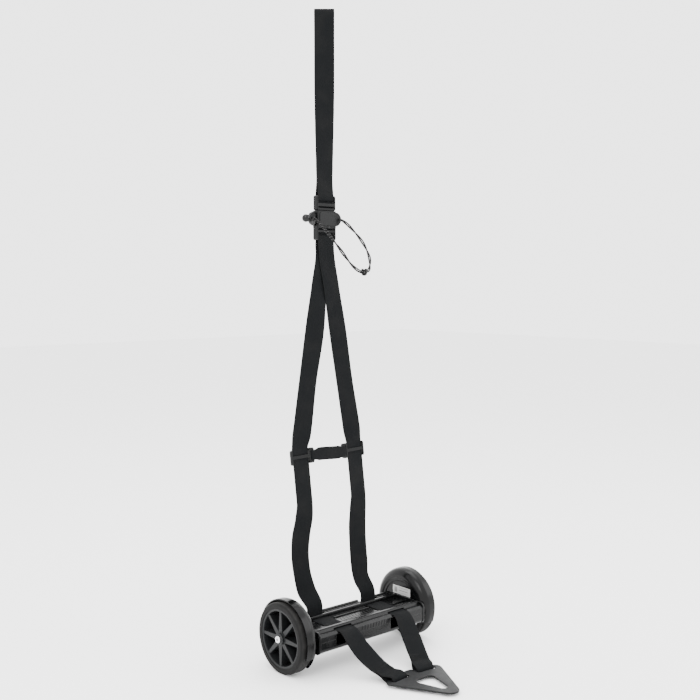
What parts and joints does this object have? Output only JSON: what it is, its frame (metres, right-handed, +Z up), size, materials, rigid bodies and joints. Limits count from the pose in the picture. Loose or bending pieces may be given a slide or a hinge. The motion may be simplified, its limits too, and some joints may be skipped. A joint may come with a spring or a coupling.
{
  "type": "drag cart",
  "caption": "Low two-wheeled drag cart on a webbing harness: a wheeled deck, a quick-release buckle with a pull cord, a hand loop, and a flat toe plate on straps.",
  "frame": {"origin": "top of the hand loop's crown, which is where the cart is held", "axes": "+X towards the right wheel along the axle, +Y to the rear, +Z up"},
  "size_m": [0.3494, 0.3584, 1.2224],
  "materials": {
    "webbing": "woven, matt, fine lengthwise ribs",
    "buckle_plastic": "moulded, fine matt grain",
    "cord": "braided, with bright flecks",
    "ball": "smooth",
    "deck_plastic": "moulded, satin gloss",
    "wheel_plastic": "moulded, matt",
    "tyre": "smooth tread",
    "steel": "zinc plated",
    "bright_cap": "polished",
    "plate_paint": "powder coated, satin",
    "label": "printed film, plain bars"
  },
  "bodies": {
    "hand_loop": {"hand_loop": "webbing"},
    "buckle": {"buckle_top_half": "buckle_plastic", "buckle_base_half": "buckle_plastic", "pull_cord": "cord", "cord_knot": "cord"},
    "left_prong": {"left_prong": "buckle_plastic", "cord_stop_ball": "ball"},
    "right_prong": {"right_prong": "buckle_plastic"},
    "harness": {"harness_bend": "webbing", "left_harness_leg": "webbing", "right_harness_leg": "webbing"},
    "cross": {"cross_strap": "webbing", "left_slider": "buckle_plastic", "right_slider": "buckle_plastic"},
    "deck": {"deck_shell": "deck_plastic", "base_shell": "deck_plastic", "deck_screws": "steel", "axle": "steel", "left_washer": "steel", "right_washer": "steel", "left_push_cap": "bright_cap", "right_push_cap": "bright_cap", "left_wheel_guard": "deck_plastic", "right_wheel_guard": "deck_plastic", "label_plate": "label", "left_deck_webbing": "webbing", "right_deck_webbing": "webbing"},
    "left_wheel": {"left_rim": "wheel_plastic", "left_tyre": "tyre"},
    "right_wheel": {"right_rim": "wheel_plastic", "right_tyre": "tyre"},
    "toe_straps": {"left_toe_strap": "webbing", "right_toe_strap": "webbing"},
    "toe_plate": {"toe_plate": "plate_paint"}
  },
  "joints": [
    {"name": "buckle_swing", "type": "hinge", "parent": "hand_loop", "child": "buckle", "pos_m": [0, 0, -0.3545], "axis": [1, 0, 0], "range_deg": [-30, 80]},
    {"name": "left_prong_press", "type": "hinge", "parent": "buckle", "child": "left_prong", "pos_m": [-0.012, 0, -0.3775], "axis": [0, -1, 0], "range_deg": [0, 8], "stiffness_Nm_per_rad": 0.8},
    {"name": "right_prong_press", "type": "hinge", "parent": "buckle", "child": "right_prong", "pos_m": [0.012, 0, -0.3775], "axis": [0, 1, 0], "range_deg": [0, 8], "stiffness_Nm_per_rad": 0.8},
    {"name": "harness_swing", "type": "hinge", "parent": "buckle", "child": "harness", "pos_m": [0, 0, -0.4265], "axis": [1, 0, 0], "range_deg": [-40, 80]},
    {"name": "cross_strap_slide", "type": "slide", "parent": "harness", "child": "cross", "axis": [0.0254, -0.11, -0.9936], "range_m": [0, 0.06]},
    {"name": "deck_fold", "type": "hinge", "parent": "harness", "child": "deck", "pos_m": [0.01, -0.0385, -1.1347], "axis": [1, 0, 0], "range_deg": [-45, 90]},
    {"name": "left_wheel_spin", "type": "hinge", "parent": "deck", "child": "left_wheel", "pos_m": [-0.146, -0.062, -1.155], "axis": [1, 0, 0], "continuous": true},
    {"name": "right_wheel_spin", "type": "hinge", "parent": "deck", "child": "right_wheel", "pos_m": [0.166, -0.062, -1.155], "axis": [1, 0, 0], "continuous": true},
    {"name": "toe_strap_swing", "type": "hinge", "parent": "deck", "child": "toe_straps", "pos_m": [0.01, -0.1335, -1.1421], "axis": [1, 0, 0], "range_deg": [-30, 40]},
    {"name": "toe_plate_tilt", "type": "hinge", "parent": "toe_straps", "child": "toe_plate", "pos_m": [0.01, -0.228, -1.2135], "axis": [1, 0, 0], "range_deg": [-25, 60]}
  ]
}
